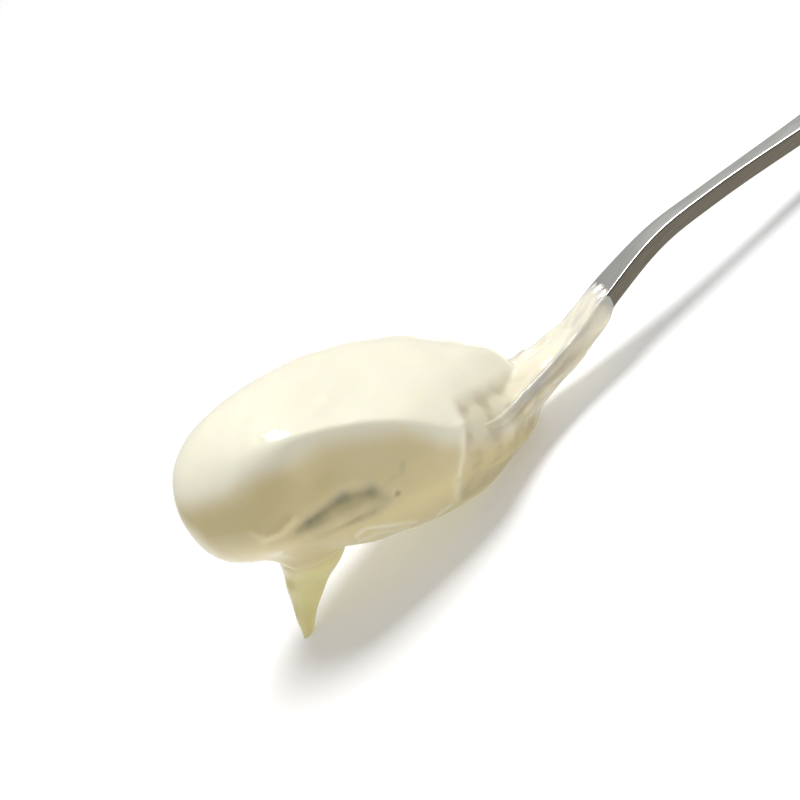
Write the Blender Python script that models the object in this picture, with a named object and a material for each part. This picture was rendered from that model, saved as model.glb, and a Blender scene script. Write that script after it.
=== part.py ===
"""A heaped spoonful of thick yogurt, lying at rest with the yogurt up.

The steel spoon and the yogurt are both drawn in the spoon's own frame: +X runs along the handle,
+Z is square to the rim of the bowl and -Y is the near side. The origin of that frame is where
the bowl turns into the neck. An empty then tips the pair onto the surface that it rests on.
Sizes are in metres.
"""

import math

import bmesh
import bpy
import numpy as np

# Spoon: outline, seen square to the rim
BOWL_TIP = -0.0640
BOWL_WIDEST = -0.0340
BOWL_HALF_WIDTH = 0.0205
HANDLE_END = 0.1280
HANDLE_END_ROUND = 0.0085
# Half width behind the widest place, as (place, half width)
OUTLINE = (
    (BOWL_WIDEST, BOWL_HALF_WIDTH),
    (-0.0250, 0.0200),
    (-0.0150, 0.0173),
    (-0.0070, 0.0130),
    (0.0000, 0.0092),
    (0.0060, 0.0073),
    (0.0140, 0.0062),
    (0.0250, 0.0047),
    (0.0330, 0.0035),
    (0.0490, 0.0024),
    (0.0700, 0.0031),
    (0.0950, 0.0055),
    (0.1150, 0.0076),
    (HANDLE_END, 0.0082),
)
# Height of the rim and then of the handle's edge, as (place, height)
EDGE_HEIGHT = (
    (BOWL_TIP, 0.0016),
    (-0.0300, 0.0010),
    (-0.0100, 0.0014),
    (0.0030, 0.0030),
    (0.0140, 0.0066),
    (0.0250, 0.0124),
    (0.0370, 0.0176),
    (0.0490, 0.0203),
    (0.0700, 0.0240),
    (0.0950, 0.0284),
    (HANDLE_END, 0.0333),
)
# How hollow each cross section is: its depth is this times the half width squared
HOLLOW = (
    (BOWL_TIP, 26.5),
    (-0.0450, 27.0),
    (BOWL_WIDEST, 28.8),
    (-0.0250, 31.5),
    (-0.0100, 45.0),
    (-0.0010, 66.0),
    (0.0060, 50.0),
    (0.0140, 18.0),
    (0.0240, 0.0),
    (HANDLE_END, 0.0),
)
# Thickness of the steel, as (place, thickness)
GAUGE = (
    (BOWL_TIP, 0.0011),
    (-0.0120, 0.0013),
    (0.0080, 0.0024),
    (0.0350, 0.0031),
    (0.0700, 0.0031),
    (HANDLE_END, 0.0022),
)
STEEL_CORNER = 0.0004
TIP_RINGS = 9
BODY_RINGS = 40
END_RINGS = 6
END_ANGLE = 0.02
FLAT_STEPS = 8
CORNER_STEPS = 2

# Yogurt
GAP = 0.0003
COAT_END = 0.0245
COAT_THIN = 0.0007
# Thickness of the coat's low side, as (place, thickness)
COAT = (
    (BOWL_TIP, 0.0012),
    (-0.0420, 0.0012),
    (-0.0300, 0.0017),
    (-0.0120, 0.0024),
    (0.0000, 0.0019),
    (0.0120, 0.0011),
    (COAT_END, COAT_THIN),
)
POCKET_PAST_COAT = 0.0040
FILL_ABOVE_RIM = 0.0008
FILL_END = 0.0120
HEAP_CENTRE = (-0.0350, 0.0, 0.0080)
HEAP_HALF_SIZES = (0.033, 0.018, 0.016)
HEAP_RINGS = 44
HEAP_SPOKES = 60
# Flat places of the heap, each as (direction that it faces, point that it passes through)
HEAP_TOP = (
    ((-0.03, -0.28, 1.0), (-0.0400, 0.0, 0.0251)),
    ((0.31, -0.17, 1.0), (-0.0220, 0.0, 0.0183)),
    ((0.80, -0.58, 1.0), (-0.0084, -0.0057, 0.0097)),
    ((0.64, 0.52, 1.0), (-0.0142, 0.0106, 0.0185)),
    ((-0.57, -0.23, 1.0), (-0.0599, 0.0, 0.0217)),
    ((-0.19, 0.55, 1.0), (-0.0400, 0.0142, 0.0226)),
)
HEAP_WALLS = (
    ((0.0, -1.0, 0.30), (-0.0350, -0.0209, 0.0080)),
    ((-0.62, -0.78, 0.05), (-0.0620, -0.0140, 0.0080)),
    ((-1.0, 0.0, 0.0), (-0.0711, 0.0, 0.0070)),
    ((-0.62, 0.78, 0.10), (-0.0600, 0.0154, 0.0080)),
    ((0.0, 1.0, 0.20), (-0.0350, 0.0182, 0.0080)),
    ((0.80, 0.60, 0.30), (0.0000, 0.0110, 0.0070)),
    ((0.50, -0.87, 0.10), (-0.0073, -0.0158, 0.0030)),
    ((1.0, -0.10, 0.30), (0.0041, 0.0, 0.0040)),
)
HEAP_UNDER = (
    ((-0.60, -0.25, -0.75), (-0.0676, -0.0064, -0.0021)),
    ((-0.10, -0.50, -0.85), (-0.0498, -0.0182, 0.0020)),
    ((0.35, -0.45, -0.82), (-0.0080, -0.0110, -0.0085)),
    ((0.0, 0.50, -0.85), (-0.0350, 0.0205, -0.0010)),
    ((0.45, 0.0, -0.90), (0.0000, 0.0, -0.0090)),
    ((0.0, 0.0, -1.0), (-0.0350, 0.0, -0.0098)),
)
SOFT_EDGE = 10.0
CRISP_EDGE = 34.0
END_EDGE = 22.0
# Drip from its root in the film to its tip, as (X, Y, height, radius)
DRIP = (
    (-0.0494, 0.0, -0.0070, 0.0076),
    (-0.0523, 0.0, -0.0126, 0.0056),
    (-0.0536, 0.0, -0.0149, 0.0045),
    (-0.0559, 0.0, -0.0193, 0.0030),
    (-0.0578, 0.0, -0.0240, 0.0017),
    (-0.0588, 0.0, -0.0273, 0.0010),
)
DRIP_STEPS = 12

# Resting pose: the drip's tip, the heel and the handle's end are on the surface
REST_TILT = math.radians(17.6)
REST_HEIGHT = 0.0076
FLOOR_SIZE = 0.4

STEEL_COLOUR = (0.60, 0.60, 0.58, 1.0)
YOGURT_COLOUR = (0.90, 0.84, 0.62, 1.0)


def curve_through(knots, places):
    """Smooth curve through (place, value) knots: a cubic between each two knots, its slope at a
    knot the mean of the slopes to either side."""
    x, value = np.array(knots).T
    steps = np.diff(value) / np.diff(x)
    slope = np.concatenate([steps[:1], (steps[1:] + steps[:-1]) / 2, steps[-1:]])
    i = np.clip(np.searchsorted(x, places) - 1, 0, len(x) - 2)
    width = x[i + 1] - x[i]
    t = np.clip((places - x[i]) / width, 0, 1)
    rise = value[i + 1] - value[i]
    start, end = slope[i] * width, slope[i + 1] * width
    return value[i] + t * (start + t * (3 * rise - 2 * start - end + t * (start + end - 2 * rise)))


def smooth_step(low, high, values):
    t = np.clip((values - low) / (high - low), 0, 1)
    return t * t * (3 - 2 * t)


def half_width(x):
    """Half the outline's width: an ellipse at the tip, the outline's curve, then a round end."""
    toward_tip = np.clip((BOWL_WIDEST - x) / (BOWL_WIDEST - BOWL_TIP), 0, 1)
    tip = BOWL_HALF_WIDTH * np.sqrt(1 - toward_tip**2)
    toward_end = np.clip(1 - (HANDLE_END - x) / HANDLE_END_ROUND, 0, 1)
    body = curve_through(OUTLINE, x) * np.sqrt(1 - toward_end**2)
    return np.where(x < BOWL_WIDEST, tip, body)


def steel_height(x, y):
    """Height of the middle of the steel: the edge's height less a hollow that is a parabola."""
    depth = curve_through(HOLLOW, x) * (half_width(x) ** 2 - y**2)
    return curve_through(EDGE_HEIGHT, x) - depth


def ring_places(stop=None):
    """Places of the spoon's rings: close together at the tip and at the round end."""
    angles = np.linspace(END_ANGLE, math.pi / 2, TIP_RINGS, endpoint=False)
    tip = BOWL_WIDEST - (BOWL_WIDEST - BOWL_TIP) * np.cos(angles)
    round_start = HANDLE_END - HANDLE_END_ROUND
    body = np.linspace(BOWL_WIDEST, round_start, BODY_RINGS, endpoint=False)
    end = round_start + HANDLE_END_ROUND * np.sin(np.linspace(0, math.pi / 2 - END_ANGLE, END_RINGS))
    if stop is None:
        return np.concatenate([tip, body, end])
    return np.concatenate([tip, body[body < stop - 0.001], [stop]])


def section_pattern():
    """One rounded rectangle as shares of (flat half width, corner, flat half height, corner)."""
    arc = np.linspace(0, math.pi / 2, CORNER_STEPS + 1)
    across = np.linspace(-1, 1, FLAT_STEPS + 1)[1:-1]
    pattern = []
    for side, up, angles in ((1, 1, arc[::-1]), (1, -1, arc), (-1, -1, arc[::-1]), (-1, 1, arc)):
        pattern += [(side, side * math.cos(a), up, up * math.sin(a)) for a in angles]
        if side != up:
            pattern += [(-side * share, 0, up, up) for share in across]
    return np.array(pattern).T


def spoon_rings(x):
    """Rings round the spoon: each is a rounded rectangle of the spoon's width and thickness,
    bent to the hollow of the bowl."""
    half = half_width(x)
    thick = curve_through(GAUGE, x) / 2
    corner = np.minimum(STEEL_CORNER, 0.9 * np.minimum(thick, half))
    flat_share, corner_share, rise_share, round_share = section_pattern()
    y = np.outer(half - corner, flat_share) + np.outer(corner, corner_share)
    offset = np.outer(thick - corner, rise_share) + np.outer(corner, round_share)
    x = np.repeat(x[:, None], y.shape[1], axis=1)
    step = 1e-4
    lean_x = (steel_height(x + step, y) - steel_height(x - step, y)) / (2 * step)
    lean_y = (steel_height(x, y + step) - steel_height(x, y - step)) / (2 * step)
    normal = np.stack([-lean_x, -lean_y, np.ones_like(x)], axis=-1)
    normal /= np.linalg.norm(normal, axis=-1, keepdims=True)
    return np.stack([x, y, steel_height(x, y)], axis=-1) + normal * offset[..., None]


def facing_sum(directions, places, power):
    """How near each direction comes to the flat places, as the power mean of its shares."""
    total = 0.0
    for facing, through in places:
        facing = np.array(facing) / np.linalg.norm(facing)
        distance = facing @ (np.array(through) - HEAP_CENTRE)
        total = total + np.maximum(0, directions @ facing / distance) ** power
    return total ** (1 / power)


def heap_points(directions):
    """Soft many-sided lump round its centre: a point is as far out as the flat places allow, and
    the power of their mean rounds the edges. The near top edge is the crisp one."""
    ahead = directions[:, 0]
    near = -directions[:, 1]
    crisp = smooth_step(0.15, 0.55, near) * smooth_step(-0.95, -0.6, ahead)
    ending = smooth_step(0.5, 0.9, ahead)
    edge = SOFT_EDGE + (CRISP_EDGE - SOFT_EDGE) * crisp
    edge = np.maximum(edge, SOFT_EDGE + (END_EDGE - SOFT_EDGE) * ending)
    top = facing_sum(directions, HEAP_TOP, SOFT_EDGE)
    walls = facing_sum(directions, HEAP_WALLS, SOFT_EDGE)
    under = facing_sum(directions, HEAP_UNDER, SOFT_EDGE)
    upper = (top**edge + walls**edge) ** (1 / edge)
    reach = (upper**SOFT_EDGE + under**SOFT_EDGE) ** (-1 / SOFT_EDGE)
    return HEAP_CENTRE + directions * reach[:, None]


def no_growth(place, facing):
    return 0.0


def new_object(name, points, faces, collection, growth=no_growth):
    """Closed mesh of triangles with its faces pointing out, then grown outward all over."""
    mesh = bpy.data.meshes.new(name)
    mesh.from_pydata(np.reshape(points, (-1, 3)).tolist(), [], faces)
    work = bmesh.new()
    work.from_mesh(mesh)
    bmesh.ops.recalc_face_normals(work, faces=work.faces)
    work.normal_update()
    for vert in work.verts:
        vert.co += vert.normal * growth(vert.co, vert.normal)
    bmesh.ops.triangulate(work, faces=work.faces)
    work.to_mesh(mesh)
    work.free()
    obj = bpy.data.objects.new(name, mesh)
    collection.objects.link(obj)
    return obj


def loft(name, rings, collection, growth=no_growth):
    """Solid through rings of equally many points, with a cap at each end."""
    count, around = rings.shape[:2]
    faces = [tuple(range(around)), tuple(range((count - 1) * around, count * around))]
    for i in range(count - 1):
        for j in range(around):
            here, after = i * around + j, i * around + (j + 1) % around
            faces.append((here, after, after + around, here + around))
    return new_object(name, rings, faces, collection, growth)


def make_spoon(collection):
    return loft("spoon", spoon_rings(ring_places()), collection)


def make_heap(collection):
    """The lump that stands above the rim: a sphere drawn out to the heap's flat places."""
    work = bmesh.new()
    bmesh.ops.create_uvsphere(work, u_segments=HEAP_SPOKES, v_segments=HEAP_RINGS, radius=1)
    points = np.array([vert.co[:] for vert in work.verts])[:, [2, 0, 1]] * HEAP_HALF_SIZES
    faces = [[vert.index for vert in face.verts] for face in work.faces]
    work.free()
    directions = points / np.linalg.norm(points, axis=1, keepdims=True)
    return new_object("yogurt", heap_points(directions), faces, collection)


def make_fill(collection):
    """The yogurt inside the bowl, from the middle of the steel to a little above the rim."""
    x = ring_places(FILL_END)
    across = np.linspace(-1, 1, FLAT_STEPS + 1)
    y = np.outer(half_width(x), across)
    x = np.repeat(x[:, None], len(across), axis=1)
    low = np.stack([x, y, steel_height(x, y)], axis=-1)
    high = np.stack([x, y, curve_through(EDGE_HEIGHT, x) + FILL_ABOVE_RIM], axis=-1)
    return loft("fill", np.concatenate([low, high[:, ::-1]], axis=1), collection)


def film_thickness(place, facing):
    """Thick on what faces down or to the near side, thickest under the heel."""
    low = smooth_step(-0.6, 0.8, -facing.z - 0.3 * facing.y)
    return COAT_THIN + (curve_through(COAT, place.x) - COAT_THIN) * low


def make_film(collection):
    """The coat under the bowl and along the neck."""
    return loft("film", spoon_rings(ring_places(COAT_END)), collection, film_thickness)


def make_drip(collection):
    """A tapering tube along the drip's path."""
    share = np.linspace(0, 1, len(DRIP))
    steps = np.linspace(0, 1, DRIP_STEPS)
    path = [curve_through(tuple(zip(share, values)), steps) for values in zip(*DRIP)]
    curve = bpy.data.curves.new("drip", "CURVE")
    curve.dimensions = "3D"
    curve.bevel_depth = 0.001
    curve.bevel_resolution = 3
    curve.use_fill_caps = True
    spline = curve.splines.new("POLY")
    spline.points.add(DRIP_STEPS - 1)
    for point, (x, y, z, radius) in zip(spline.points, zip(*path)):
        point.co = (x, y, z, 1)
        point.radius = radius / curve.bevel_depth
    tube = bpy.data.objects.new("drip_path", curve)
    collection.objects.link(tube)
    graph = bpy.context.evaluated_depsgraph_get()
    mesh = bpy.data.meshes.new_from_object(tube.evaluated_get(graph))
    bpy.data.objects.remove(tube)
    work = bmesh.new()
    work.from_mesh(mesh)
    bmesh.ops.remove_doubles(work, verts=work.verts, dist=1e-6)
    bmesh.ops.recalc_face_normals(work, faces=work.faces)
    bmesh.ops.triangulate(work, faces=work.faces)
    work.to_mesh(mesh)
    work.free()
    drip = bpy.data.objects.new("drip", mesh)
    collection.objects.link(drip)
    return drip


def pocket_growth(place, facing):
    return GAP


def make_pocket(collection):
    """The room that the spoon takes in the yogurt, with the gap all round it."""
    rings = spoon_rings(ring_places(COAT_END + POCKET_PAST_COAT))
    return loft("pocket", rings, collection, pocket_growth)


def make_floor(collection):
    """What lies below the surface that the part rests on."""
    work = bmesh.new()
    bmesh.ops.create_cube(work, size=FLOOR_SIZE)
    bmesh.ops.translate(work, verts=work.verts, vec=(0, 0, -FLOOR_SIZE / 2))
    mesh = bpy.data.meshes.new("floor")
    work.to_mesh(mesh)
    work.free()
    floor = bpy.data.objects.new("floor", mesh)
    collection.objects.link(floor)
    return floor


def add_boolean(obj, operation, other):
    modifier = obj.modifiers.new(f"{operation.lower()}_{other.name}", "BOOLEAN")
    modifier.operation = operation
    modifier.solver = "EXACT"
    modifier.object = other


def material(name, colour, roughness, metallic):
    made = bpy.data.materials.new(name)
    made.use_nodes = True
    shader = made.node_tree.nodes["Principled BSDF"]
    shader.inputs["Base Color"].default_value = colour
    shader.inputs["Roughness"].default_value = roughness
    shader.inputs["Metallic"].default_value = metallic
    return made


def world_corners(obj):
    """Lowest and highest corner of the finished object."""
    evaluated = obj.evaluated_get(bpy.context.evaluated_depsgraph_get())
    mesh = evaluated.to_mesh()
    points = np.array([evaluated.matrix_world @ vert.co for vert in mesh.vertices])
    evaluated.to_mesh_clear()
    return points.min(axis=0), points.max(axis=0)


def main():
    for obj in list(bpy.data.objects):
        bpy.data.objects.remove(obj)
    parts = bpy.data.collections.new("spoonful_of_yogurt")
    cutters = bpy.data.collections.new("cutters")
    bpy.context.scene.collection.children.link(parts)
    bpy.context.scene.collection.children.link(cutters)

    spoon = make_spoon(parts)
    yogurt = make_heap(parts)
    added = [make_fill(cutters), make_film(cutters), make_drip(cutters)]
    pocket = make_pocket(cutters)
    floor = make_floor(cutters)

    pose = bpy.data.objects.new("resting_pose", None)
    parts.objects.link(pose)
    pose.rotation_euler = (0, REST_TILT, 0)
    pose.location = (0, 0, REST_HEIGHT)
    for obj in (spoon, yogurt, pocket, *added):
        obj.parent = pose

    for other in added:
        add_boolean(yogurt, "UNION", other)
    add_boolean(yogurt, "DIFFERENCE", pocket)
    add_boolean(yogurt, "DIFFERENCE", floor)
    add_boolean(spoon, "DIFFERENCE", floor)
    for other in cutters.objects:
        other.hide_render = True
        other.display_type = "WIRE"

    spoon.data.materials.append(material("steel", STEEL_COLOUR, 0.28, 1.0))
    yogurt.data.materials.append(material("yogurt", YOGURT_COLOUR, 0.35, 0.0))
    for obj in (spoon, yogurt):
        obj.data.shade_smooth()

    corners = np.array([world_corners(obj) for obj in (spoon, yogurt)])
    middle = (corners[:, 0].min(axis=0) + corners[:, 1].max(axis=0)) / 2
    pose.location.x -= middle[0]
    pose.location.y -= middle[1]


if __name__ == "__main__":
    main()
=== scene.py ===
"""A heaped spoonful of yogurt: the finished surfaces, the floor, the light and the camera.

The surfaces are formulas in the spoon's own frame, in millimetres: X runs along the handle, Z is
square to the rim of the bowl and -Y is the near side. The last step of each piece tips it into
the resting pose, in metres.
"""

import math

import bmesh
import bpy
import numpy as np
from mathutils import Matrix, Vector


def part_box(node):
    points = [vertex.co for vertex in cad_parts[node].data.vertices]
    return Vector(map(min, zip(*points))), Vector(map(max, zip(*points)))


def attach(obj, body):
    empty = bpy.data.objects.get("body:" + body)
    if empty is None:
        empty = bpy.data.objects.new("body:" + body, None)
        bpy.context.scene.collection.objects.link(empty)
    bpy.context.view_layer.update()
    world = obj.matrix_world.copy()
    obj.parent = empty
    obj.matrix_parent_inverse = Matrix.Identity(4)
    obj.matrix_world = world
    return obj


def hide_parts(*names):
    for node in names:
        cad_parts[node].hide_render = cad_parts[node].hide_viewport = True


bl_info = {
    "name": "Spoonful of yogurt",
    "version": (1, 0, 0),
    "blender": (4, 5, 0),
    "location": "View3D > Sidebar > Spoonful",
    "description": "Spoon, yogurt and studio, each made by one operator",
    "category": "Object",
}

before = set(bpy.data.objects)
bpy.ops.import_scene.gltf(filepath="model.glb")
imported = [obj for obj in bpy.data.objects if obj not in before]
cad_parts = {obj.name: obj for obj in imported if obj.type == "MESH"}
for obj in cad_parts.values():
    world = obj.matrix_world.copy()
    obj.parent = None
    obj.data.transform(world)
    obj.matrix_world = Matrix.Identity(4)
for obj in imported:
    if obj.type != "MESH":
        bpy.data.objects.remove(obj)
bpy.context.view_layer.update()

# Spoon: (place along X, value) knots, in millimetres
BOWL_TIP = -64.0
BOWL_WIDEST = -34.0
BOWL_HALF_WIDTH = 20.5
HANDLE_END = 128.0
HANDLE_END_ROUND = 8.5
OUTLINE = (
    (BOWL_WIDEST, BOWL_HALF_WIDTH),
    (-25.0, 20.0),
    (-15.0, 17.3),
    (-7.0, 13.0),
    (0.0, 9.2),
    (6.0, 7.3),
    (14.0, 6.2),
    (25.0, 4.7),
    (33.0, 3.5),
    (49.0, 2.4),
    (70.0, 3.1),
    (95.0, 5.5),
    (115.0, 7.6),
    (HANDLE_END, 8.2),
)
EDGE_HEIGHT = (
    (BOWL_TIP, 1.6),
    (-30.0, 1.0),
    (-10.0, 1.4),
    (3.0, 3.0),
    (14.0, 6.6),
    (25.0, 12.4),
    (37.0, 17.6),
    (49.0, 20.3),
    (70.0, 24.0),
    (95.0, 28.4),
    (HANDLE_END, 33.3),
)
HOLLOW = (
    (BOWL_TIP, 0.0265),
    (-45.0, 0.0270),
    (BOWL_WIDEST, 0.0288),
    (-25.0, 0.0315),
    (-10.0, 0.0450),
    (-1.0, 0.0660),
    (6.0, 0.0500),
    (14.0, 0.0180),
    (24.0, 0.0),
    (HANDLE_END, 0.0),
)
GAUGE = (
    (BOWL_TIP, 1.1),
    (-12.0, 1.3),
    (8.0, 2.4),
    (35.0, 3.1),
    (70.0, 3.1),
    (HANDLE_END, 2.2),
)
STEEL_CORNER = 0.4

# Yogurt, in millimetres
COAT_END = 24.5
COAT_THIN = 0.7
COAT = (
    (BOWL_TIP, 1.2),
    (-42.0, 1.2),
    (-30.0, 1.7),
    (-12.0, 2.3),
    (-5.0, 1.7),
    (1.0, 1.0),
    (8.0, 1.1),
    (14.0, 1.0),
    (COAT_END, COAT_THIN),
)
# Height of the fill over the edge of the neck, from its near side (-1) to its far side (1)
NECK_CROWN = ((-1.0, 1.9), (-0.5, 2.7), (0.0, 2.5), (0.5, 1.6), (1.0, 0.2))
HEAP_CENTRE = (-35.0, 0.0, 8.0)
HEAP_HALF_SIZES = (33.0, 18.0, 16.0)
HEAP_TOP = (
    ((-0.03, -0.28, 1.0), (-40.0, 0.0, 25.1)),
    ((0.31, -0.17, 1.0), (-22.0, 0.0, 18.3)),
    ((0.86, -0.58, 0.92), (-8.2, -5.9, 9.6)),
    ((0.64, 0.52, 1.0), (-14.2, 10.6, 18.5)),
    ((-0.57, -0.23, 1.0), (-59.9, 0.0, 21.7)),
    ((-0.19, 0.55, 1.0), (-40.0, 14.2, 22.6)),
)
HEAP_WALLS = (
    ((0.0, -1.0, 0.30), (-35.0, -20.9, 8.0)),
    ((-0.62, -0.78, 0.05), (-62.0, -14.0, 8.0)),
    ((-1.0, 0.0, 0.0), (-71.1, 0.0, 7.0)),
    ((-0.62, 0.78, 0.10), (-60.0, 15.4, 8.0)),
    ((0.0, 1.0, 0.20), (-35.0, 18.2, 8.0)),
    ((0.80, 0.60, 0.30), (0.0, 11.0, 7.0)),
    ((0.50, -0.87, 0.10), (-7.3, -15.8, 3.0)),
    ((1.0, -0.10, 0.30), (3.6, 0.0, 4.0)),
)
HEAP_UNDER = (
    ((-0.60, -0.25, -0.75), (-67.6, -6.4, -2.1)),
    ((-0.10, -0.50, -0.85), (-49.8, -19.2, 0.2)),
    ((0.35, -0.45, -0.82), (-8.0, -11.0, -8.5)),
    ((0.0, 0.50, -0.85), (-35.0, 20.5, -1.0)),
    ((0.45, 0.0, -0.90), (0.0, 0.0, -9.0)),
    ((0.0, 0.0, -1.0), (-35.0, 0.0, -9.8)),
)
SOFT_EDGE = 10.0
BLUNT_EDGE = 6.5
END_EDGE = 22.0
# Low swells of the heap, each as (centre, radius, height)
SWELLS = (
    ((-16.0, 9.0, 19.0), 6.0, 0.5),
    ((-8.5, 9.0, 13.5), 5.5, -0.7),
    ((-1.5, 5.0, 9.5), 4.0, 0.5),
    ((-44.0, -4.0, 22.5), 8.0, 0.4),
    ((-30.0, -10.0, 18.0), 7.0, -0.3),
    ((-46.0, -14.5, 19.5), 8.0, 2.2),
    ((-52.0, 8.0, 22.0), 6.0, 0.3),
    ((-60.0, 3.0, 18.0), 6.0, 0.4),
)
# Lobe of the curtain that hangs in front of the drip, as (centre, half sizes)
LOBE = ((-48.8, -7.5, -5.6), (8.2, 5.5, 4.0))
# Drip, as (X, Y, height, radius)
DRIP = (
    (-48.9, 0.0, -6.0, 8.4),
    (-50.4, 0.0, -9.4, 7.2),
    (-52.3, 0.0, -12.6, 5.6),
    (-53.6, 0.0, -14.9, 4.5),
    (-55.9, 0.0, -19.3, 3.0),
    (-57.8, 0.0, -24.0, 1.7),
    (-58.9, 0.0, -27.4, 0.95),
)

# Strokes on the side that faces the camera: (places along the stroke, width, height), each place
# as seen by the camera, in millimetres from the spoon's origin
# STREAKS paint steel grey where the steel shows through thin yogurt, and painted shade in the groove
# under the overhang and in the pits.
STREAKS = (
    (((-47.6, -4.4), (-43.3, -3.4), (-40.0, -2.9)), 1.2, 0.70),
    (((-40.0, -3.2), (-35.0, -3.8)), 1.7, 0.50),
    (((-50.6, -4.9), (-48.0, -4.5)), 1.0, 0.35),
    (((-34.4, -4.6), (-32.6, -6.6)), 1.5, 0.30),
    (((-48.0, -6.4), (-43.0, -6.2), (-36.0, -7.6)), 2.6, 0.38),
    (((-31.0, -4.2), (-28.8, -3.6)), 0.5, 0.30),
    (((-27.5, -3.4), (-26.6, -2.2)), 0.6, 0.30),
    (((-30.1, -6.7), (-30.0, -6.7)), 0.5, 0.90),
    (((-18.3, -9.8), (-18.2, -9.8)), 0.6, 0.50),
)
GROOVE = ((-57.0, -4.6), (-53.5, -5.1), (-50.2, -4.3), (-43.3, -3.3), (-38.9, -2.8), (-34.5, -4.1))
RIDGE = ((-12.8, -0.3), (-15.3, -5.4), (-20.0, -12.5))
LIP = ((-41.0, -10.6), (-38.6, -10.0), (-34.1, -11.8), (-29.2, -13.3))
LIP_LOW = ((-41.0, -11.9), (-37.5, -11.9), (-34.0, -13.0), (-31.0, -13.6))
LIP_END = ((-24.8, -14.1), (-21.4, -13.5))
STROKES = (
    (GROOVE, 1.5, -0.45),
    (((-54.0, -7.2), (-47.0, -7.6), (-38.0, -7.6)), 2.6, 0.40),
    (((-58.5, -1.0), (-57.2, -3.4), (-54.2, -3.6), (-51.0, -2.4)), 0.8, 0.30),
    (RIDGE, 1.2, 0.25),
    (((-30.1, -6.7), (-30.0, -6.7)), 0.5, -0.3),
    (((-18.3, -9.8), (-18.2, -9.8)), 0.6, -0.4),
    (((-48.9, 15.0), (-46.0, 14.9)), 0.7, 0.2),
    (((-38.0, 15.0), (-34.5, 15.6)), 1.2, 0.2),
    (LIP, 0.5, 0.18),
    (LIP_LOW, 0.45, 0.18),
)
# Camera: held over the rim, rolled, at a distance, with the picture's middle in the spoon's frame
CAMERA_ROLL = 26.0
CAMERA_RISE = 22.0
CAMERA_DISTANCE = 450.0
PIXELS_PER_MM = 5.1
PICTURE_SIZE = 800
PICTURE_MIDDLE = (-21.56, 9.44)


def curve_through(knots, places):
    """Smooth curve through (place, value) knots: a cubic between each two knots, its slope at a
    knot the mean of the slopes to either side."""
    x, value = np.array(knots).T
    steps = np.diff(value) / np.diff(x)
    slope = np.concatenate([steps[:1], (steps[1:] + steps[:-1]) / 2, steps[-1:]])
    i = np.clip(np.searchsorted(x, places) - 1, 0, len(x) - 2)
    width = x[i + 1] - x[i]
    t = np.clip((places - x[i]) / width, 0, 1)
    rise = value[i + 1] - value[i]
    start, end = slope[i] * width, slope[i + 1] * width
    return value[i] + t * (start + t * (3 * rise - 2 * start - end + t * (start + end - 2 * rise)))


def smooth_step(low, high, values):
    t = np.clip((values - low) / (high - low), 0, 1)
    return t * t * (3 - 2 * t)


def ripple(points, length, seed):
    """Smooth irregular waves from -1 to 1: the mean of eight sines in seeded directions."""
    source = np.random.default_rng(seed)
    total = 0.0
    for _ in range(8):
        direction = source.normal(size=3)
        direction *= source.uniform(0.6, 1.5) * 2 * math.pi / length / np.linalg.norm(direction)
        total = total + np.sin(points @ direction + source.uniform(0, 2 * math.pi))
    return total / 4


def half_width(x):
    """Half the outline's width: an ellipse at the tip, the outline's curve, then a round end."""
    toward_tip = np.clip((BOWL_WIDEST - x) / (BOWL_WIDEST - BOWL_TIP), 0, 1)
    tip = BOWL_HALF_WIDTH * np.sqrt(1 - toward_tip**2)
    toward_end = np.clip(1 - (HANDLE_END - x) / HANDLE_END_ROUND, 0, 1)
    body = curve_through(OUTLINE, x) * np.sqrt(1 - toward_end**2)
    return np.where(x < BOWL_WIDEST, tip, body)


def steel_height(x, y):
    """Height of the middle of the steel: the edge's height less a hollow that is a parabola."""
    depth = curve_through(HOLLOW, x) * (half_width(x) ** 2 - y**2)
    return curve_through(EDGE_HEIGHT, x) - depth


def ring_places(body_rings, stop=None):
    """Places of the spoon's rings: close together at the tip and at the round end."""
    angles = np.linspace(0.02, math.pi / 2, body_rings // 4, endpoint=False)
    tip = BOWL_WIDEST - (BOWL_WIDEST - BOWL_TIP) * np.cos(angles)
    round_start = HANDLE_END - HANDLE_END_ROUND
    body = np.linspace(BOWL_WIDEST, round_start, body_rings, endpoint=False)
    end = round_start + HANDLE_END_ROUND * np.sin(
        np.linspace(0, math.pi / 2 - 0.02, body_rings // 6)
    )
    if stop is None:
        return np.concatenate([tip, body, end])
    return np.concatenate([tip, body[body < stop - 0.3], [stop]])


def section_pattern(flat_steps, corner_steps):
    """One rounded rectangle as shares of (flat half width, corner, flat half height, corner)."""
    arc = np.linspace(0, math.pi / 2, corner_steps + 1)
    across = np.linspace(-1, 1, flat_steps + 1)[1:-1]
    pattern = []
    for side, up, angles in ((1, 1, arc[::-1]), (1, -1, arc), (-1, -1, arc[::-1]), (-1, 1, arc)):
        pattern += [(side, side * math.cos(a), up, up * math.sin(a)) for a in angles]
        if side != up:
            pattern += [(-side * share, 0, up, up) for share in across]
    return np.array(pattern).T


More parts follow.
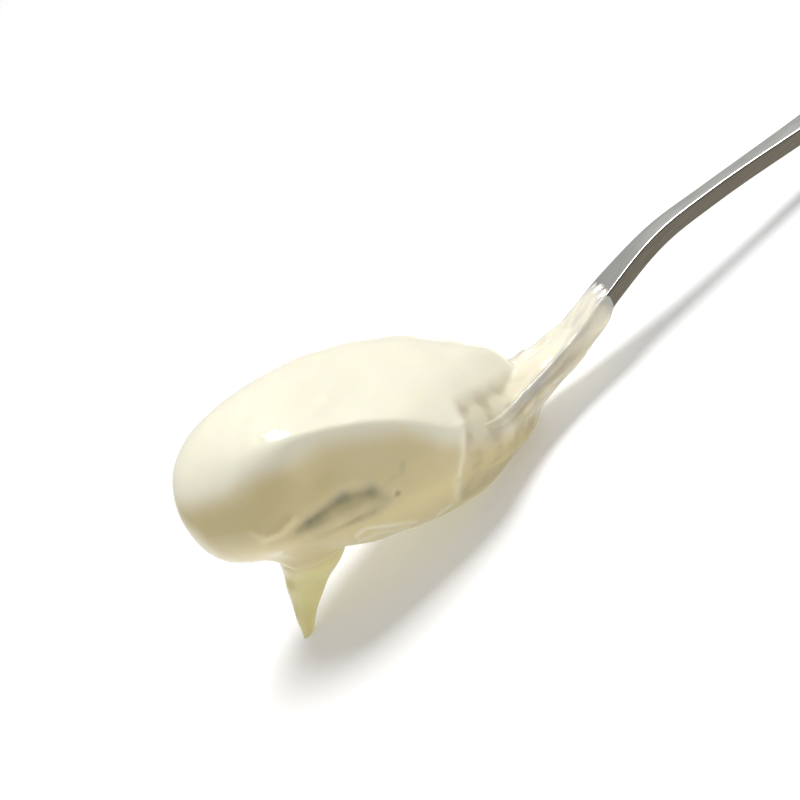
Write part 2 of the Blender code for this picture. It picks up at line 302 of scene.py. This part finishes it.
def spoon_rings(x, flat_steps, corner_steps):
    """Rings round the spoon: each is a rounded rectangle of the spoon's width and thickness,
    bent to the hollow of the bowl."""
    half = half_width(x)
    thick = curve_through(GAUGE, x) / 2
    corner = np.minimum(STEEL_CORNER, 0.9 * np.minimum(thick, half))
    flat_share, corner_share, rise_share, round_share = section_pattern(flat_steps, corner_steps)
    y = np.outer(half - corner, flat_share) + np.outer(corner, corner_share)
    offset = np.outer(thick - corner, rise_share) + np.outer(corner, round_share)
    x = np.repeat(x[:, None], y.shape[1], axis=1)
    step = 0.1
    lean_x = (steel_height(x + step, y) - steel_height(x - step, y)) / (2 * step)
    lean_y = (steel_height(x, y + step) - steel_height(x, y - step)) / (2 * step)
    normal = np.stack([-lean_x, -lean_y, np.ones_like(x)], axis=-1)
    normal /= np.linalg.norm(normal, axis=-1, keepdims=True)
    return np.stack([x, y, steel_height(x, y)], axis=-1) + normal * offset[..., None]


def ring_faces(count, around):
    """Faces of a tube of rings, as four corners each."""
    i, j = np.meshgrid(np.arange(count - 1), np.arange(around), indexing="ij")
    here, after = i * around + j, i * around + (j + 1) % around
    return np.stack([here, after, after + around, here + around], axis=-1).reshape(-1, 4)


def ring_normals(rings):
    """Outward directions of a tube of rings, from the differences along and round it."""
    along = np.gradient(rings, axis=0)
    around = np.roll(rings, -1, axis=1) - np.roll(rings, 1, axis=1)
    normal = np.cross(along, around)
    length = np.linalg.norm(normal, axis=-1, keepdims=True)
    normal = normal / np.maximum(length, 1e-9)
    outward = ((rings - rings.mean(axis=1, keepdims=True)) * normal).sum()
    return normal if outward > 0 else -normal


def tube(rings):
    """(points, faces) of a closed tube: its rings and a cap at each end."""
    count, around = rings.shape[:2]
    faces = ring_faces(count, around).tolist()
    faces += [list(range(around)), list(range((count - 1) * around, count * around))]
    return rings.reshape(-1, 3), faces


def facing_sum(directions, places, power):
    """How near each direction comes to the flat places, as the power mean of its shares."""
    total = 0.0
    for facing, through in places:
        facing = np.array(facing) / np.linalg.norm(facing)
        distance = facing @ (np.array(through) - HEAP_CENTRE)
        total = total + np.maximum(0, directions @ facing / distance) ** power
    return total ** (1 / power)


def heap_tube(settings):
    """Soft many-sided lump round its centre: a point is as far out as the flat places allow, and
    the power of their mean rounds the edges. The near top edge is the crisp one. Low swells and
    slow waves move it in and out."""
    rise = np.linspace(0.004, math.pi - 0.004, settings.heap_rings)
    turn = np.linspace(0, 2 * math.pi, settings.heap_spokes, endpoint=False)
    rise, turn = np.meshgrid(rise, turn, indexing="ij")
    unit = np.stack([np.cos(rise), np.sin(rise) * np.cos(turn), np.sin(rise) * np.sin(turn)], -1)
    directions = (unit * HEAP_HALF_SIZES).reshape(-1, 3)
    directions /= np.linalg.norm(directions, axis=1, keepdims=True)
    ahead = directions[:, 0]
    near = -directions[:, 1]
    blunt = smooth_step(-0.25, -0.85, ahead)
    crisp = smooth_step(0.15, 0.55, near) * (1 - blunt) ** 2
    ending = smooth_step(0.5, 0.9, ahead)
    soft = 1 / SOFT_EDGE + (1 / settings.crisp_edge - 1 / SOFT_EDGE) * crisp
    soft += (1 / BLUNT_EDGE - 1 / SOFT_EDGE) * blunt * smooth_step(0.0, 0.45, near)
    edge = 1 / (soft + (1 / END_EDGE - soft) * ending * (1 - crisp))
    top = facing_sum(directions, HEAP_TOP, SOFT_EDGE)
    walls = facing_sum(directions, HEAP_WALLS, SOFT_EDGE)
    under = facing_sum(directions, HEAP_UNDER, SOFT_EDGE)
    upper = (top**edge + walls**edge) ** (1 / edge)
    reach = (upper**SOFT_EDGE + under**SOFT_EDGE) ** (-1 / SOFT_EDGE)
    points = HEAP_CENTRE + directions * reach[:, None]
    for centre, radius, height in SWELLS:
        away = np.linalg.norm(points - centre, axis=1) / radius
        reach = reach + height * np.exp(-(away**2))
    reach = reach + settings.swell * ripple(points, 22.0, 3)
    points = HEAP_CENTRE + directions * reach[:, None]
    return tube(points.reshape(unit.shape))


def steel_gap(points):
    """About how far each point lies outside the steel, in millimetres: past its faces along
    their slope, and past its edge sideways."""
    x, y, z = points.T
    half = half_width(x)
    inside = np.clip(y, -half, half)
    step = 0.1
    lean_x = (steel_height(x + step, inside) - steel_height(x - step, inside)) / (2 * step)
    lean_y = (steel_height(x, inside + step) - steel_height(x, inside - step)) / (2 * step)
    rise = np.abs(z - steel_height(x, inside)) / np.sqrt(1 + lean_x**2 + lean_y**2)
    past_face = np.maximum(rise - curve_through(GAUGE, x) / 2, 0)
    return np.hypot(past_face, np.maximum(np.abs(y) - half, 0))


def lobe_tube():
    """Ellipsoid that bulges in front of the drip's root."""
    centre, sizes = LOBE
    rise, turn = np.meshgrid(
        np.linspace(0.01, math.pi - 0.01, 60),
        np.linspace(0, 2 * math.pi, 80, endpoint=False),
        indexing="ij",
    )
    unit = np.stack([np.cos(rise), np.sin(rise) * np.cos(turn), np.sin(rise) * np.sin(turn)], -1)
    return tube(centre + unit * sizes)


def coat_tube():
    """The coat under the bowl and along the neck: the spoon's own surface, moved out by the
    coat's thickness. Past the neck it sinks into the steel in uneven streaks, and it leaves the
    far edge of the neck bare."""
    rings = spoon_rings(ring_places(170, COAT_END), 40, 4)
    normal = ring_normals(rings)
    x, y = rings[..., 0], rings[..., 1]
    side = y / np.maximum(half_width(x), 1.0)
    low = smooth_step(-0.6, 0.8, -normal[..., 2] - 0.3 * normal[..., 1])
    thick = COAT_THIN + (curve_through(COAT, x) - COAT_THIN) * low
    streaks = np.sin(1.9 * y + 0.6 + 0.05 * x) + 0.6 * np.sin(3.7 * y + 1.9)
    neck = smooth_step(-2.0, 6.0, x)
    near_rim = neck * np.maximum(0, 0.6 * normal[..., 2] - 0.8 * normal[..., 1])
    thick = thick + 0.35 * near_rim + neck * 0.06 * (streaks + ripple(rings, 7.0, 8))
    end = COAT_END + 0.4 - 2.2 * smooth_step(0.0, 1.0, side) + 0.7 * streaks
    fade = smooth_step(-4.0, 0.0, x - end)
    bare_from = 0.95 - 0.45 * smooth_step(5.0, 20.0, x)
    bare = smooth_step(bare_from, bare_from + 0.3, side) * smooth_step(5.0, 12.0, x)
    thick = thick - (thick + 0.25) * np.maximum(fade, 0.85 * bare)
    return tube(rings + normal * thick[..., None])


def fill_tube():
    """The yogurt inside the bowl and over the neck: level in the bowl, crowned along the neck,
    where it covers the near edge and leaves the far edge lower."""
    x = ring_places(120, COAT_END - 1.0)
    across = np.linspace(-1, 1, 61)
    y = np.outer(half_width(x), across)
    x = np.repeat(x[:, None], len(across), axis=1)
    low = np.stack([x, y, steel_height(x, y)], axis=-1)
    level = 0.8 + 1.2 * (1 - across**2)
    crown = curve_through(NECK_CROWN, across) * np.ones_like(x)
    crown += 0.5 * np.minimum(curve_through(GAUGE, x) - 2.3, 0)
    crown -= (crown + 0.3 - 0.5 * curve_through(GAUGE, x)) * smooth_step(8.0, COAT_END - 1.0, x)
    height = level + (crown - level) * smooth_step(-12.0, -4.0, x)
    high = np.stack([x, y, curve_through(EDGE_HEIGHT, x) + height], axis=-1)
    return tube(np.concatenate([low, high[:, ::-1]], axis=1))


def drip_tube():
    """A tapering tube along the drip's path, with a flared root."""
    share = np.linspace(0, 1, len(DRIP))
    steps = np.linspace(0, 1, 60)
    path = [curve_through(tuple(zip(share, values)), steps) for values in zip(*DRIP)]
    centre, radius = np.stack(path[:3], axis=1), path[3]
    along = np.gradient(centre, axis=0)
    along /= np.linalg.norm(along, axis=1, keepdims=True)
    side = np.array([0.0, 1.0, 0.0])
    other = np.cross(along, side)
    turn = np.linspace(0, 2 * math.pi, 48, endpoint=False)
    ring = np.cos(turn)[None, :, None] * side + np.sin(turn)[None, :, None] * other[:, None, :]
    rings = centre[:, None, :] + ring * radius[:, None, None]
    wobble = 1 + 0.05 * ripple(rings, 7.0, 21)
    rings = centre[:, None, :] + (rings - centre[:, None, :]) * wobble[..., None]
    end = centre[-1] + along[-1] * radius[-1] * 0.8
    tip = end + (rings[-1] - centre[-1]) * 0.05
    middle = centre[-1] + along[-1] * radius[-1] * 0.5 + (rings[-1] - centre[-1]) * 0.75
    return tube(np.concatenate([rings, [middle], [tip]]))


def join(shapes):
    """One (points, faces) of several."""
    points, faces, start = [], [], 0
    for shape_points, shape_faces in shapes:
        points.append(shape_points)
        faces += [[corner + start for corner in face] for face in shape_faces]
        start += len(shape_points)
    return np.concatenate(points), faces


def pose_matrix(settings):
    """Resting pose of the spoon's frame, in metres. The turn is known, and the shift is where
    the frame's own spoon lies."""
    turn = Matrix.Rotation(math.radians(settings.rest_tilt), 4, "Y")
    points, _ = tube(spoon_rings(ring_places(160), 8, 2))
    turned = points @ np.array(turn.to_3x3()).T / 1000
    low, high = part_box("spoon")
    shift = (high[0] - turned[:, 0].max(), (low[1] + high[1]) / 2, settings.rest_height / 1000)
    return Matrix.Translation(shift) @ turn


def to_world(points, pose):
    """Points in the row's frame, in metres, none below the surface that the spoon lies on."""
    pose = np.array(pose)
    placed = points / 1000 @ pose[:3, :3].T + pose[:3, 3]
    placed[:, 2] = np.maximum(placed[:, 2], 0.0)
    return placed


def mesh_object(name, points, faces):
    """New object at the origin whose faces point out."""
    mesh = bpy.data.meshes.new(name)
    mesh.from_pydata(points.tolist(), [], faces)
    work = bmesh.new()
    work.from_mesh(mesh)
    bmesh.ops.recalc_face_normals(work, faces=work.faces)
    work.to_mesh(mesh)
    work.free()
    mesh.shade_smooth()
    obj = bpy.data.objects.new(name, mesh)
    bpy.context.scene.collection.objects.link(obj)
    return obj


def float_attribute(mesh, name, values):
    layer = mesh.attributes.new(name, "FLOAT", "POINT")
    layer.data.foreach_set("value", np.ascontiguousarray(values, dtype=np.float32))


def vertex_arrays(mesh):
    """(places, normals) of the mesh's points."""
    count = len(mesh.vertices)
    places = np.empty(count * 3, np.float32)
    mesh.vertices.foreach_get("co", places)
    normals = np.empty(count * 3, np.float32)
    mesh.vertex_normals.foreach_get("vector", normals)
    return places.reshape(-1, 3).astype(float), normals.reshape(-1, 3).astype(float)


def camera_axes():
    """(right, up, back) of the camera before it rolls, in the spoon's frame."""
    rise = math.radians(CAMERA_RISE)
    across = np.array([1.0, 0.0, 0.0])
    back = np.array([0.0, -math.cos(rise), math.sin(rise)])
    return across, np.cross(back, across), back


def seen_from_camera(points):
    """Each point's place in the plane through the spoon's origin that squarely faces the camera,
    where the line from the camera through the point meets it."""
    across, upward, back = camera_axes()
    middle = np.array(PICTURE_MIDDLE)
    flat = np.stack([points @ across, points @ upward], axis=-1)
    nearer = CAMERA_DISTANCE / (CAMERA_DISTANCE - points @ back)
    return middle + (flat - middle) * nearer[:, None]


def along_line(seen, line, width):
    """1 on a line of seen places, falling away over its width."""
    best = np.full(len(seen), 1e9)
    for start, end in zip(line[:-1], line[1:]):
        start, span = np.array(start), np.subtract(end, start)
        t = np.clip((seen - start) @ span / (span @ span), 0, 1)
        best = np.minimum(best, np.linalg.norm(seen - start - t[:, None] * span, axis=1))
    return np.exp(-((best / width) ** 2))


def past_ridge(seen):
    """How far each seen place lies past the ridge, toward the handle."""
    x, height = np.array(RIDGE)[::-1].T
    return seen[:, 0] - np.interp(seen[:, 1], height, x)


def relief(places, normals):
    """Height to add to the fused surface: strokes that face the camera, the step back past the
    ridge with its lumps, and slow waves all over."""
    seen = seen_from_camera(places)
    facing = smooth_step(0.0, 0.4, normals @ camera_axes()[2])
    height = np.zeros(len(places))
    for line, width, amount in STROKES:
        height += amount * along_line(seen, line, width) * facing
    past = past_ridge(seen)
    low = smooth_step(6.0, 2.0, seen[:, 1]) * facing
    height -= 0.6 * smooth_step(-0.4, 1.6, past) * low
    height += 0.07 * end_lumps(places) * smooth_step(0.0, 2.0, past)
    return height + 0.10 * ripple(places, 9.0, 61)


def cover_steel(places, normals):
    """Height that keeps the yogurt at least the skin's thickness outside the steel, but for the
    far edge of the neck and the coat's ragged end."""
    skin = 0.6
    x, y = places[:, 0], places[:, 1]
    side = y / np.maximum(half_width(x), 1.0)
    wanted = smooth_step(-58.0, -54.0, x) * smooth_step(23.0, 19.0, x)
    wanted *= np.where(x < 5.0, 1.0, smooth_step(0.4, 0.2, side))
    return wanted * np.maximum(skin - steel_gap(places), 0)


def end_lumps(places):
    """Lumps of the end that faces the handle, from -1 to 1 and fading out along the neck."""
    lumps = 0.7 * ripple(places, 7.0, 41) + 0.3 * ripple(places, 3.2, 42)
    return lumps * smooth_step(-24.0, -16.0, places[:, 0]) * smooth_step(5.0, 1.0, places[:, 0])


def top_height(points):
    """Height of the heap's top faces over each point: the lowest of the sloping planes."""
    heights = []
    for facing, through in HEAP_TOP:
        slope = (points[:, :2] - through[:2]) @ np.array(facing[:2])
        heights.append(through[2] - slope / facing[2])
    return np.min(heights, axis=0)


def soften(mesh, places, weight, rounds):
    """Moves each point toward the mean of its neighbours, as far as its weight says, again and
    again."""
    ends = np.empty(len(mesh.edges) * 2, np.int32)
    mesh.edges.foreach_get("vertices", ends)
    first, second = ends.reshape(-1, 2).T
    here = np.concatenate([first, second])
    there = np.concatenate([second, first])
    count = np.bincount(here, minlength=len(places))
    for _ in range(rounds):
        for axis in range(3):
            mean = np.bincount(here, places[there, axis], len(places)) / count
            places[:, axis] += weight * (mean - places[:, axis])
    mesh.vertices.foreach_set("co", places.ravel())
    mesh.update()
    return vertex_arrays(mesh)


class Shader:
    """Short forms for building a material's nodes."""

    def __init__(self, name):
        self.material = bpy.data.materials.new(name)
        self.material.use_nodes = True
        self.tree = self.material.node_tree
        self.principled = self.tree.nodes["Principled BSDF"]

    def node(self, kind, **values):
        made = self.tree.nodes.new(kind)
        for key, value in values.items():
            if key in made.inputs:
                self.put(made.inputs[key], value)
            else:
                setattr(made, key, value)
        return made

    def put(self, socket, value):
        if isinstance(value, bpy.types.NodeSocket):
            self.tree.links.new(value, socket)
        else:
            socket.default_value = value

    def attribute(self, name):
        return self.node("ShaderNodeAttribute", attribute_name=name).outputs["Fac"]

    def object_place(self):
        return self.node("ShaderNodeTexCoord").outputs["Object"]

    def noise(self, scale, detail, place=None):
        made = self.node("ShaderNodeTexNoise", Scale=scale, Detail=detail)
        self.put(made.inputs["Vector"], place or self.object_place())
        return made.outputs["Fac"]

    def math(self, operation, first, second, clamp=False):
        made = self.node("ShaderNodeMath", operation=operation, use_clamp=clamp)
        self.put(made.inputs[0], first)
        self.put(made.inputs[1], second)
        return made.outputs[0]

    def span(self, value, low, high, to_low=0.0, to_high=1.0):
        made = self.node("ShaderNodeMapRange", interpolation_type="SMOOTHSTEP")
        for socket, number in zip(made.inputs, (value, low, high, to_low, to_high)):
            self.put(socket, number)
        return made.outputs[0]

    def mix(self, share, first, second):
        made = self.node("ShaderNodeMix", data_type="RGBA")
        self.put(made.inputs["Factor"], share)
        self.put(made.inputs[6], first)
        self.put(made.inputs[7], second)
        return made.outputs[2]

    def bump(self, height, distance, strength=1.0, normal=None):
        made = self.node("ShaderNodeBump", Strength=strength, Distance=distance)
        self.put(made.inputs["Height"], height)
        if normal is not None:
            self.put(made.inputs["Normal"], normal)
        return made.outputs[0]

    def finish(self, **values):
        for key, value in values.items():
            self.put(self.principled.inputs[key.replace("_", " ")], value)
        return self.material


def yogurt_material(settings):
    """Moist cream: pale on top, with painted shade: a deeper yellow painted where the heap is in its
    own shade.
    """
    shader = Shader("yogurt")
    pale = (*settings.pale, 1.0)
    shade_colour = (*settings.shade_colour, 1.0)
    # The depth attribute is painted shade: below the top, on faces that do not face up, the colour
    # goes from pale to the painted shade colour.
    blotch = shader.span(shader.noise(110.0, 3.0), 0.2, 0.8, 0.92, 1.08)
    depth = shader.math("MULTIPLY", shader.attribute("depth"), blotch, clamp=True)
    colour = shader.mix(depth, pale, shade_colour)
    # The drip: a yellower whey tint, and lighter as well, which is painted light for a drip that
    # hangs in the heap's shadow.
    colour = shader.mix(shader.attribute("drip"), colour, (0.95, 0.86, 0.43, 1.0))
    # Steel grey where the steel shows through thin yogurt, and painted shade in the groove under the
    # overhang and in the pits.
    colour = shader.mix(shader.attribute("steel_and_painted_shade"), colour, (0.44, 0.40, 0.24, 1.0))
    # Painted shade on the end that faces the handle: darker all over it, and darker still in the
    # lows of its lumps.
    colour = shader.mix(shader.attribute("end_face_painted_shade"), colour, (0.50, 0.42, 0.24, 1.0))
    # Painted highlights: pale lines along the lips and the ridge on the side that faces the camera.
    colour = shader.mix(shader.attribute("painted_highlight_line"), colour, (0.93, 0.91, 0.74, 1.0))
    colour = shader.mix(shader.attribute("thin"), colour, (0.60, 0.59, 0.53, 1.0))
    fine = shader.bump(shader.noise(900.0, 3.0), 0.00003, 0.25)
    wide = shader.bump(shader.noise(160.0, 2.0), 0.00025, 0.35, fine)
    rough = shader.span(shader.noise(220.0, 2.0), 0.3, 0.7, 0.28, 0.36)
    return shader.finish(
        Base_Color=colour,
        Roughness=rough,
        Normal=wide,
        IOR=1.42,
        Subsurface_Weight=settings.scatter,
        Subsurface_Scale=settings.scatter_depth / 1000,
        Subsurface_Radius=(1.0, 0.75, 0.32),
        Coat_Weight=0.5,
        Coat_Roughness=0.05,
    )


def steel_material(name, colour, roughness, line_strength):
    """Satin steel with fine lines along the spoon."""
    shader = Shader(name)
    stretch = shader.node("ShaderNodeMapping", vector_type="POINT")
    shader.put(stretch.inputs["Vector"], shader.object_place())
    stretch.inputs["Scale"].default_value = (60.0, 2600.0, 2600.0)
    lines = shader.noise(1.0, 4.0, stretch.outputs[0])
    cloud = shader.noise(90.0, 3.0)
    tone = shader.mix(shader.span(lines, 0.3, 0.7), tuple(0.86 * c for c in colour) + (1.0,),
                      (*colour, 1.0))
    rough = shader.math("ADD", roughness - 0.05, shader.math("MULTIPLY", cloud, 0.10))
    return shader.finish(
        Base_Color=tone,
        Metallic=1.0,
        Roughness=rough,
        Normal=shader.bump(lines, 0.00004, line_strength),
    )


def floor_material():
    shader = Shader("floor")
    cloud = shader.noise(3.0, 2.0)
    colour = shader.mix(cloud, (0.74, 0.74, 0.74, 1.0), (0.76, 0.76, 0.76, 1.0))
    return shader.finish(
        Base_Color=colour,
        Roughness=0.9,
        Specular_IOR_Level=0.0,
        Emission_Color=(1.0, 1.0, 1.0, 1.0),
        Emission_Strength=0.25,
    )


class SpoonfulSettings(bpy.types.PropertyGroup):
    heap_rings: bpy.props.IntProperty(
        name="Heap rings", description="Rings along the heap before it is fused", default=360
    )
    heap_spokes: bpy.props.IntProperty(
        name="Heap spokes", description="Points round each ring of the heap", default=420
    )
    crisp_edge: bpy.props.FloatProperty(
        name="Crisp edge", description="Power that sharpens the near top edge", default=56.0
    )
    swell: bpy.props.FloatProperty(
        name="Swell", description="Height of the heap's slow waves, in millimetres", default=0.14
    )
    grain: bpy.props.FloatProperty(
        name="Grain", description="Cell that the yogurt's shapes are fused with, in millimetres",
        default=0.38,
    )
    smoothing: bpy.props.IntProperty(
        name="Smoothing", description="Smoothing rounds after the shapes are fused", default=6
    )
    rest_tilt: bpy.props.FloatProperty(
        name="Resting tilt", description="Turn of the spoon about Y, in degrees", default=17.6
    )
    rest_height: bpy.props.FloatProperty(
        name="Resting height", description="Height of the spoon's origin, in millimetres",
        default=7.6,
    )


class LooksSettings(bpy.types.PropertyGroup):
    pale: bpy.props.FloatVectorProperty(
        name="Pale", description="Colour of the yogurt's top", subtype="COLOR",
        default=(0.96, 0.905, 0.73),
    )
    # Painted shade: the colour painted on the yogurt's sides that lie in its own shade
    shade_colour: bpy.props.FloatVectorProperty(
        name="Deep", description="Colour of the yogurt's shaded side", subtype="COLOR",
        default=(0.76, 0.65, 0.35),
    )
    scatter: bpy.props.FloatProperty(
        name="Scatter", description="Share of light that passes through the yogurt", default=0.5
    )
    scatter_depth: bpy.props.FloatProperty(
        name="Scatter depth", description="How far light passes through it, in millimetres",
        default=1.4,
    )
    key_power: bpy.props.FloatProperty(
        name="Key", description="Power of the light overhead, in watts", default=26.0
    )
    sky_power: bpy.props.FloatProperty(
        name="Sky", description="Strength of the light from all round", default=0.30
    )


class SPOONFUL_OT_spoon(bpy.types.Operator):
    """Adds the steel spoon"""

    bl_idname = "spoonful.spoon"
    bl_label = "Spoon"

    def execute(self, context):
        settings = context.scene.spoonful
        rings = spoon_rings(ring_places(300), 24, 6)
        points, faces = tube(rings)
        spoon = mesh_object("spoon_steel", to_world(points, pose_matrix(settings)), faces)
        spoon.data.materials.append(steel_material("steel_face", (0.80, 0.80, 0.76), 0.34, 0.25))
        # The side walls get a dark copy of the steel: painted shade for the dark surroundings they
        # reflect.
        spoon.data.materials.append(steel_material("steel_side_painted_shade", (0.17, 0.15, 0.12), 0.36, 0.45))
        pattern = section_pattern(24, 6)
        level = np.abs(pattern[3])
        side = np.tile(level < 0.70, len(rings) - 1)
        index = np.zeros(len(spoon.data.polygons), np.int32)
        index[: len(side)] = side
        spoon.data.polygons.foreach_set("material_index", index)
        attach(spoon, "root")
        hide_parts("spoon")
        return {"FINISHED"}


class SPOONFUL_OT_yogurt(bpy.types.Operator):
    """Adds the yogurt: heap, fill, coat and drip fused into one surface"""

    bl_idname = "spoonful.yogurt"
    bl_label = "Yogurt"

    def execute(self, context):
        settings = context.scene.spoonful
        shapes = [heap_tube(settings), fill_tube(), coat_tube(), drip_tube(), lobe_tube()]
        rough = mesh_object("yogurt_rough", *join(shapes))
        fuse = rough.modifiers.new("fuse", "REMESH")
        fuse.mode = "VOXEL"
        fuse.voxel_size = settings.grain
        smooth = rough.modifiers.new("smooth", "SMOOTH")
        smooth.factor = 0.5
        smooth.iterations = settings.smoothing
        graph = context.evaluated_depsgraph_get()
        mesh = bpy.data.meshes.new_from_object(rough.evaluated_get(graph))
        mesh.name = "yogurt_surface"
        bpy.data.objects.remove(rough)
        if len(mesh.vertices) < 1000:
            self.report({"ERROR"}, "The yogurt's shapes did not fuse")
            raise RuntimeError("the yogurt's shapes did not fuse")
        places, _ = vertex_arrays(mesh)
        places, normals = soften(mesh, places, self.rim_weight(places), 90)
        self.paint(mesh, places, normals)
        places += normals * relief(places, normals)[:, None]
        places += normals * cover_steel(places, normals)[:, None]
        placed = to_world(places, pose_matrix(settings))
        mesh.vertices.foreach_set("co", placed.ravel())
        mesh.shade_smooth()
        yogurt = bpy.data.objects.new("yogurt_surface", mesh)
        context.scene.collection.objects.link(yogurt)
        mesh.materials.clear()
        mesh.materials.append(yogurt_material(context.scene.spoonful_looks))
        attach(yogurt, "root")
        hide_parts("yogurt")
        return {"FINISHED"}

    def rim_weight(self, places):
        """1 where pieces run into each other without a seam: round the near rim, from the
        middle of the bowl to the neck, and over the top of the curtain's lobe."""
        x, y, z = places.T
        half = half_width(x)
        level = np.abs(z - curve_through(EDGE_HEIGHT, x))
        rim = smooth_step(-36.0, -30.0, x) * smooth_step(0.0, -6.0, x)
        rim = rim * smooth_step(5.5, 2.5, y + half) * smooth_step(6.0, 3.5, level)
        centre, sizes = LOBE
        away = np.linalg.norm((places - centre) / sizes, axis=1)
        lobe = smooth_step(1.7, 1.2, away) * smooth_step(-11.5, -9.5, seen_from_camera(places)[:, 1])
        return np.maximum(rim, lobe * smooth_step(0.0, -4.0, y))

    def paint(self, mesh, places, normals):
        """Stores, each from 0 to 1: painted shade, the drip's tint and painted light, steel grey and
        painted shade, painted shade of the end, painted highlights, and thin places.
        """
        x, y, z = places.T
        # Painted shade: depth grows below the heap's top on faces that do not face up, and is less
        # on the neck and on the drip.
        under = top_height(places) - z
        depth = smooth_step(0.8, 6.0, under) * smooth_step(0.62, 0.15, normals[:, 2])
        neck = smooth_step(-1.0, 3.0, x)
        # drip marks the drip's low part, which gets its whey tint and painted light, with less
        # painted shade.
        drip = smooth_step(-9.0, -13.0, z)
        depth = depth * (1 - 0.75 * neck) * (1 - 0.45 * drip)
        float_attribute(mesh, "drip", drip)
        float_attribute(mesh, "depth", depth)
        seen = seen_from_camera(places)
        facing = smooth_step(0.0, 0.4, normals @ camera_axes()[2])
        # Steel grey through thin yogurt, and painted shade in the groove and pits, on the side that
        # faces the camera.
        streak = sum(amount * along_line(seen, line, width) for line, width, amount in STREAKS)
        patchy = 0.85 + 0.3 * ripple(places, 6.0, 31) + 0.12 * ripple(places, 2.2, 32)
        float_attribute(mesh, "steel_and_painted_shade", np.clip(streak * patchy, 0, 1) * facing)
        # Painted shade of the end past the ridge, deeper in the lows of its lumps.
        past = smooth_step(-0.4, 1.6, past_ridge(seen)) * facing * smooth_step(6.0, 2.0, seen[:, 1])
        lows = smooth_step(0.3, -0.6, end_lumps(places))
        float_attribute(mesh, "end_face_painted_shade", past * (0.35 + 0.35 * lows))
        # Painted highlights along the lips, the ridge and the lip's end.
        lines = along_line(seen, LIP, 0.4) + along_line(seen, LIP_LOW, 0.35)
        lines = 0.6 * lines + 0.3 * along_line(seen, RIDGE, 1.1) + along_line(seen, LIP_END, 0.3)
        float_attribute(mesh, "painted_highlight_line", np.clip(lines, 0, 1) * facing)
        gap = steel_gap(places) + 0.25 * ripple(places, 4.0, 51)
        float_attribute(mesh, "thin", smooth_step(1.3, 0.2, gap) * smooth_step(-12.0, 4.0, x))


class SPOONFUL_OT_stage(bpy.types.Operator):
    """Adds the floor, the lights and the camera"""

    bl_idname = "spoonful.stage"
    bl_label = "Stage"

    def execute(self, context):
        looks = context.scene.spoonful_looks
        self.floor()
        self.lights(context, looks)
        self.camera(context)
        return {"FINISHED"}

    def floor(self):
        half = 6.0
        corners = np.array([(-half, -half, 0), (half, -half, 0), (half, half, 0), (-half, half, 0)])
        mesh = bpy.data.meshes.new("floor")
        mesh.from_pydata(corners.tolist(), [], [(0, 1, 2, 3)])
        floor = bpy.data.objects.new("floor", mesh)
        bpy.context.scene.collection.objects.link(floor)
        mesh.materials.append(floor_material())

    def lights(self, context, looks):
        world = bpy.data.worlds.new("studio")
        context.scene.world = world
        world.use_nodes = True
        background = world.node_tree.nodes["Background"]
        background.inputs["Color"].default_value = (1.0, 1.0, 1.0, 1.0)
        background.inputs["Strength"].default_value = looks.sky_power
        self.area("key", (0.17, 0.29, 0.94), 1.6, 0.94, looks.key_power)

    def area(self, name, toward, distance, size, power):
        lamp = bpy.data.lights.new(name, "AREA")
        lamp.shape = "DISK"
        lamp.size = size
        lamp.energy = power
        obj = bpy.data.objects.new(name, lamp)
        bpy.context.scene.collection.objects.link(obj)
        toward = Vector(toward).normalized()
        obj.location = Vector((-0.065, 0.0, 0.02)) + toward * distance
        obj.rotation_euler = toward.to_track_quat("Z", "Y").to_euler()

    def camera(self, context):
        """The camera is placed in the spoon's frame and tipped with it into the resting pose."""
        roll = math.radians(CAMERA_ROLL)
        across, upward, back = camera_axes()
        right = math.cos(roll) * across - math.sin(roll) * upward
        up = math.sin(roll) * across + math.cos(roll) * upward
        target = across * PICTURE_MIDDLE[0] + upward * PICTURE_MIDDLE[1]
        place = (target + back * CAMERA_DISTANCE) / 1000
        matrix = np.eye(4)
        matrix[:3, :4] = np.stack([right, up, back, place], axis=1)
        camera = bpy.data.cameras.new("camera")
        camera.sensor_width = 36.0
        camera.lens = 36.0 * CAMERA_DISTANCE / (PICTURE_SIZE / PIXELS_PER_MM)
        camera.clip_start = 0.01
        obj = bpy.data.objects.new("camera", camera)
        obj.matrix_world = pose_matrix(context.scene.spoonful) @ Matrix(matrix.tolist())
        context.scene.collection.objects.link(obj)
        context.scene.camera = obj
        context.scene.view_settings.view_transform = "Standard"


class SPOONFUL_PT_panel(bpy.types.Panel):
    """Buttons for the pieces, and their settings"""

    bl_idname = "SPOONFUL_PT_panel"
    bl_label = "Spoonful of yogurt"
    bl_space_type = "VIEW_3D"
    bl_region_type = "UI"
    bl_category = "Spoonful"

    def draw(self, context):
        layout = self.layout
        for operator in OPERATORS:
            layout.operator(operator.bl_idname)
        for group in (context.scene.spoonful, context.scene.spoonful_looks):
            for name in group.bl_rna.properties.keys():
                if name not in ("rna_type", "name"):
                    layout.prop(group, name)


OPERATORS = (SPOONFUL_OT_spoon, SPOONFUL_OT_yogurt, SPOONFUL_OT_stage)
CLASSES = (SpoonfulSettings, LooksSettings, *OPERATORS, SPOONFUL_PT_panel)


def register():
    for cls in CLASSES:
        bpy.utils.register_class(cls)
    bpy.types.Scene.spoonful = bpy.props.PointerProperty(type=SpoonfulSettings)
    bpy.types.Scene.spoonful_looks = bpy.props.PointerProperty(type=LooksSettings)


def unregister():
    del bpy.types.Scene.spoonful_looks
    del bpy.types.Scene.spoonful
    for cls in reversed(CLASSES):
        bpy.utils.unregister_class(cls)


def main():
    register()
    bpy.ops.spoonful.spoon()
    bpy.ops.spoonful.yogurt()
    bpy.ops.spoonful.stage()


if __name__ == "__main__":
    main()
